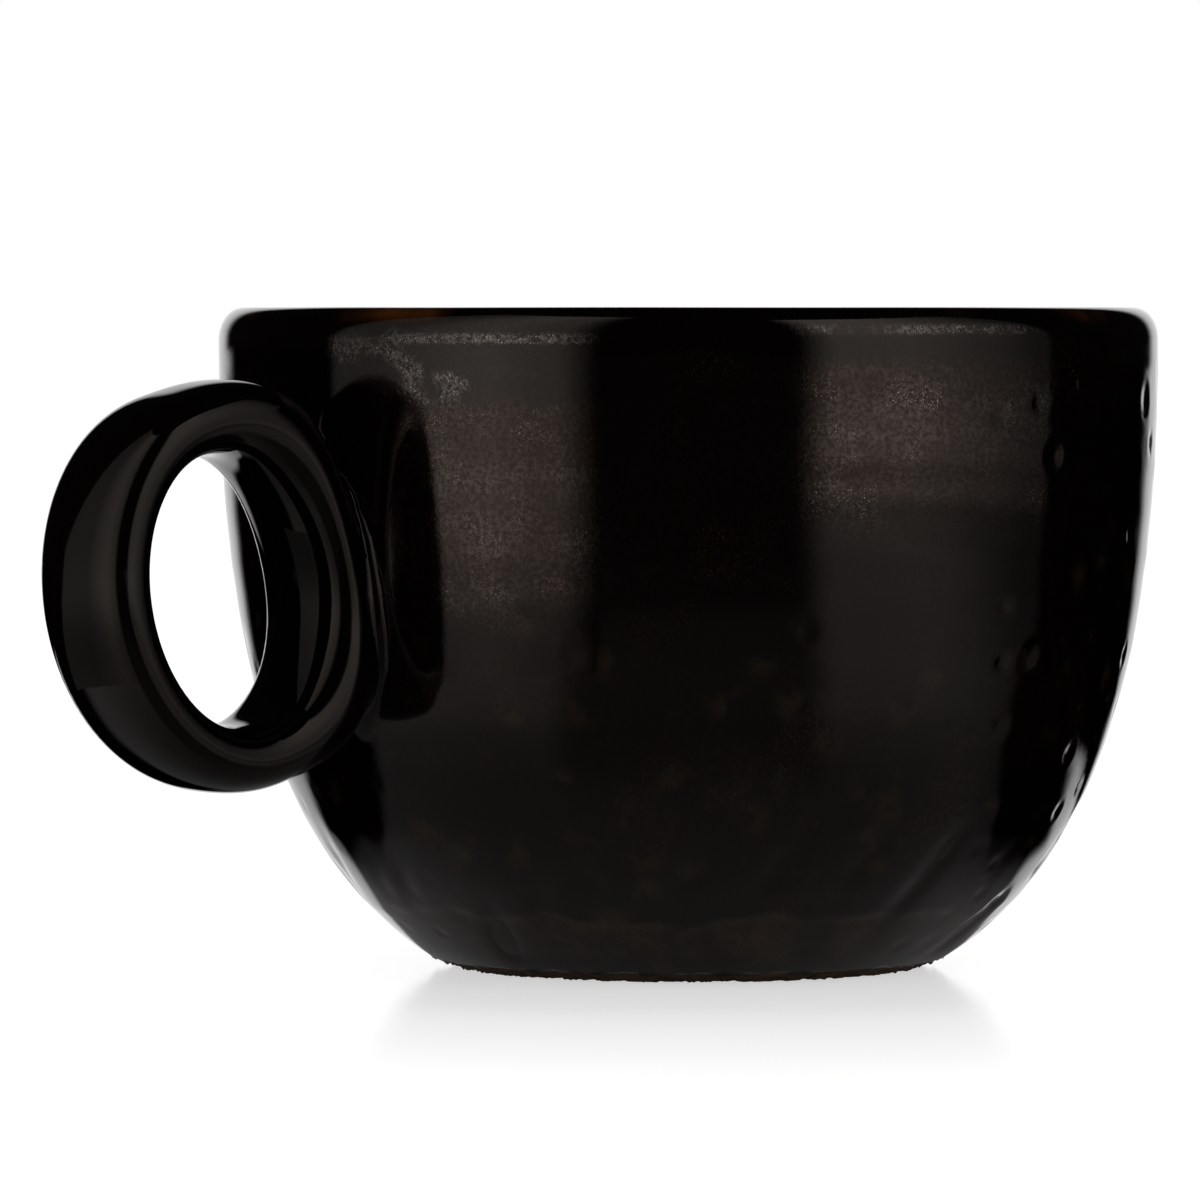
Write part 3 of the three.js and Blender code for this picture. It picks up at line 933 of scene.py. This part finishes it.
# stage: two lit panels, floor, backdrop and camera
def stageMaterial(name):
    material = bpy.data.materials.new(name)
    material.use_nodes = True
    material.node_tree.nodes.clear()
    return material, material.node_tree


def finishMaterial(piece, material, tree, shader):
    tree.links.new(shader.outputs[0], addNode(tree, "OutputMaterial").inputs["Surface"])
    piece.data.materials.append(material)


panels = {
    "glow": 1.2, "colour": (1, 0.985, 0.965, 1), "top": 520, "columns": 240, "bendRows": 9, "rows": 14, "gap": 6,
    "fadeHeight": (0, 34), "fadeAngle": (46, 60),
}
# side, radius, radius at the foot, loss of light low at the far end, and light by degrees from the camera and by height
leftPanel = {
    "side": -1, "radius": 210, "foot": 110, "footFade": 0.18,
    "across": (
        (19.5, 0), (23, 0.22), (28.5, 0.75), (33, 0.8), (44, 1.1),
        (54, 0.95), (62, 0.7), (70, 0.4), (86.2, 0.25), (86.8, 0),
    ),
    "upward": ((0, 0.34), (3, 0.42), (8, 0.6), (16, 0.82), (26, 0.93), (80, 0.78), (200, 0.68), (520, 0.6)),
}
rightPanel = {
    "side": 1, "radius": 330, "foot": 300, "footFade": 0.0,
    "across": ((24, 0), (27, 0.3), (32.5, 1), (50, 1), (68, 0.52), (86, 0.15), (91, 0.12), (91.6, 0)),
    "upward": ((0, 0.4), (9, 0.58), (26, 1), (60, 0.76), (200, 0.95), (520, 1)),
}


def makePanel(name, panel):
    # an upright arc whose foot curves in towards the mug
    angles = np.linspace(panel["across"][0][0], panel["across"][-1][0], panels["columns"])
    bend = panel["radius"] - panel["foot"]
    sweep = np.linspace(0, math.pi / 2, panels["bendRows"])
    reach = np.concatenate([panel["foot"] + bend * np.sin(sweep), np.full(panels["rows"], panel["radius"])])
    upright = np.geomspace(bend / 2 + panels["gap"], panels["top"], panels["rows"])
    heights = np.concatenate([bend / 2 * (1 - np.cos(sweep)), upright])
    turn = np.radians(angles)[:, None]
    aim = toCamera * np.cos(turn) + panel["side"] * toRight * np.sin(turn)
    points = np.concatenate([aim * r + np.array([0, 0, h]) for r, h in zip(reach, heights)])
    corners = np.arange(len(points)).reshape(len(heights), len(angles))[:, ::-panel["side"]]
    faces = np.stack([corners[:-1, :-1], corners[:-1, 1:], corners[1:, 1:], corners[1:, :-1]], axis=2)
    piece = makeMesh(name, points, faces.reshape(-1, 4).tolist())
    light = np.outer(np.interp(heights, *zip(*panel["upward"])), np.interp(angles, *zip(*panel["across"])))
    lost = np.outer(1 - smoothStep(*panels["fadeHeight"], heights), smoothStep(*panels["fadeAngle"], angles))
    paint(piece, "glow", (light * (1 - panel["footFade"] * lost)).ravel())
    # lit on the mug's side and clear from behind
    material, tree = stageMaterial(name)
    lit = addNode(tree, "Emission")
    feed(tree, lit, Color=panels["colour"], Strength=times(tree, attributeNode(tree, "glow"), panels["glow"]))
    behind = addNode(tree, "NewGeometry").outputs["Backfacing"]
    finishMaterial(piece, material, tree, mixShaders(tree, behind, lit, addNode(tree, "BsdfTransparent")))
    piece.visible_camera = False
    piece.visible_shadow = False


makePanel("left_panel", leftPanel)
makePanel("right_panel", rightPanel)


# floor: ranges by metres from the axis, or by the cosine of the angle from the camera's side or the right
floorLook = {
    "size": 6000, "below": 0.02, "matt": (0.8, 0.8, 0.8), "polish": 0.12,
    "seen": (0.05, 0.08, 0.91, 1.0), "shine": (0.03, 0.25, 0.36, 0.0),
    "nearLeft": (-0.3, -0.5, 0.0, -0.07), "near": (0.12, 0.1),
    # besides the white sweep, the ranges from here on are painted light and shade that only mirrored rays see: a
    # reflection of the backdrop close behind the foot, a pool of light round it, shade at the sides, in front, far off
    # and at the foot, and a darker floor colour
    "closeShift": (0.046, 0.068, -0.28, 0.0), "close": (-0.4, -0.55), "sweep": (-0.84, -0.92),
    "spill": (0.056, 0.033, 0.0, 0.13), "spillSides": (0.85, 0.35, 0.3, 1.0),
    "cardShift": (0.07, 0.2, 0.0, 0.24), "card": (0.29, 0.21), "cardFrom": (0.042, 0.055),
    "sides": (0.08, 0.62), "sidesLeast": (-0.3, 0.3, 0.7, 0.22),
    "middle": (0.83, 0.94), "front": (0.045, 0.085), "far": (0.085, 0.23),
    "glow": 0.16, "frontGlow": 0.6, "farGlow": 0.15, "footGlow": (0.027, 0.04, 0.58, 1.0),
    "tone": (0.06, 0.12, 0.05, 0.85), "frontTone": 0.04,
}


def mirroredRays(tree, path):
    return most(tree, path["Is Glossy Ray"], path["Is Transmission Ray"])


def mirroredFloor(tree, place, away):
    # what a mirror sees: the white sweep behind the mug, a painted reflection of it close behind the foot, a painted
    # pool of light round the foot, painted shade at its sides (no cards stand there), in front, far off and close to
    # the foot, and a painted darker copy of the floor's colour
    look = floorLook
    facing, side = (mathNode(tree, "DIVIDE", dotNode(tree, place, axis), away) for axis in (toCamera, toRight))
    near = mapNode(tree, plus(tree, away, mapNode(tree, side, *look["nearLeft"])), *look["near"])
    # painted reflection: white on the floor close behind the foot, where a polished floor would mirror the backdrop
    behind = plus(tree, facing, mapNode(tree, away, *look["closeShift"]))
    close = times(tree, mapNode(tree, behind, *look["close"]), near)
    sweep = most(tree, mapNode(tree, facing, *look["sweep"]), close)
    # painted light: a brighter pool on the floor round the foot, seen only in reflections
    spill = times(tree, mapNode(tree, away, *look["spill"]), mapNode(tree, facing, *look["spillSides"]))
    # painted shade: dark patches on the floor at the mug's sides, though no cards stand there
    paintedShadeAt = plus(tree, facing, mapNode(tree, away, *look["cardShift"]))
    card = times(tree, mapNode(tree, paintedShadeAt, *look["card"]), mapNode(tree, away, *look["cardFrom"]))
    # painted shade: the floor darker at the sides, most on the right
    clear = mapNode(tree, facing, *look["sides"], mapNode(tree, side, *look["sidesLeast"]), 1.0)
    clear = times(tree, minus(tree, 1.0, card), clear)
    # painted shade: the floor darker in front of the mug and further off
    middle = mapNode(tree, facing, *look["middle"])
    front = times(tree, middle, mapNode(tree, away, *look["front"]))
    far = times(tree, middle, mapNode(tree, away, *look["far"]))
    lit = times(tree, clear, blend(tree, front, 1.0, look["frontGlow"]))
    lit = times(tree, lit, blend(tree, far, 1.0, look["farGlow"]))
    # painted light: the pool's strength, less where painted shade falls
    paintedPool = plus(tree, spill, times(tree, lit, look["glow"]))
    # painted shade: darker right at the foot
    paintedPool = times(tree, paintedPool, mapNode(tree, away, *look["footGlow"]))
    # painted shade: mirrored rays see a darker floor colour, darkest near the mug, in front and where the side shade is
    # painted
    tone = times(tree, clear, mapNode(tree, away, *look["tone"]))
    tone = times(tree, tone, blend(tree, front, 1.0, look["frontTone"]))
    return most(tree, sweep, paintedPool), tone


def makeFloor():
    size, low = floorLook["size"], -floorLook["below"]
    corners = [[-size, -size, low], [size, -size, low], [size, size, low], [-size, size, low]]
    piece = makeMesh("floor", corners, [[0, 1, 2, 3]])
    material, tree = stageMaterial("white_table")
    path = addNode(tree, "LightPath").outputs
    place = addNode(tree, "NewGeometry").outputs["Position"]
    length = addNode(tree, "VectorMath", operation="LENGTH")
    tree.links.new(place, length.inputs[0])
    away = length.outputs["Value"]
    mirrored = mirroredRays(tree, path)
    # mirrored rays see the white backdrop and painted light and shade on the floor
    backdropAndPaintedLight, tone = mirroredFloor(tree, place, away)
    seen = times(tree, path["Is Camera Ray"], mapNode(tree, away, *floorLook["seen"]))
    glow = addNode(tree, "Emission")
    feed(tree, glow, Strength=plus(tree, seen, times(tree, mirrored, backdropAndPaintedLight)))
    matt = addNode(tree, "BsdfDiffuse")
    # the camera sees the floor's own colour, mirrored rays the painted darker one
    feed(tree, matt, Color=mixColour(tree, mirrored, floorLook["matt"], tone))
    both = addNode(tree, "AddShader")
    for socket, shader in zip(both.inputs, (glow, matt)):
        tree.links.new(shader.outputs[0], socket)
    # only the camera sees the polish, so that the mug's own reflections stay calm
    polish = addNode(tree, "BsdfGlossy")
    feed(tree, polish, Color=(1, 1, 1, 1), Roughness=floorLook["polish"])
    share = times(tree, path["Is Camera Ray"], mapNode(tree, away, *floorLook["shine"]))
    finishMaterial(piece, material, tree, mixShaders(tree, share, both, polish))


makeFloor()

room = {"dim": 0.004, "ambient": 0.12, "backdrop": (27, 19)}


def makeWorld():
    # white to the camera; a mirror sees a white backdrop behind the mug and a dark room elsewhere
    world = bpy.data.worlds.new("studio")
    scene.world = world
    world.use_nodes = True
    tree = world.node_tree
    tree.nodes.clear()
    path = addNode(tree, "LightPath").outputs
    facing = dotNode(tree, addNode(tree, "TexCoord").outputs["Generated"], -toCamera)
    backdrop = mapNode(tree, facing, *(math.cos(math.radians(angle)) for angle in room["backdrop"]))
    white = most(tree, path["Is Camera Ray"], times(tree, mirroredRays(tree, path), backdrop))
    dark = plus(tree, room["dim"], times(tree, path["Is Diffuse Ray"], room["ambient"]))
    light = addNode(tree, "Background")
    feed(tree, light, Color=(1, 1, 1, 1), Strength=most(tree, white, dark))
    tree.links.new(light.outputs[0], addNode(tree, "OutputWorld").inputs["Surface"])


makeWorld()


def makeCamera():
    lens = bpy.data.cameras.new("camera")
    lens.lens = view["lens"]
    camera = bpy.data.objects.new("camera", lens)
    scene.collection.objects.link(camera)
    middle = -toRight * view["aimLeft"]
    aim = Vector((middle + np.array([0, 0, view["aimHeight"]])) * mm)
    camera.location = Vector((middle + toCamera * view["distance"] + np.array([0, 0, view["height"]])) * mm)
    camera.rotation_euler = (aim - camera.location).to_track_quat("-Z", "Y").to_euler()
    scene.camera = camera


makeCamera()
scene.view_settings.view_transform = "Standard"
print("stage set")
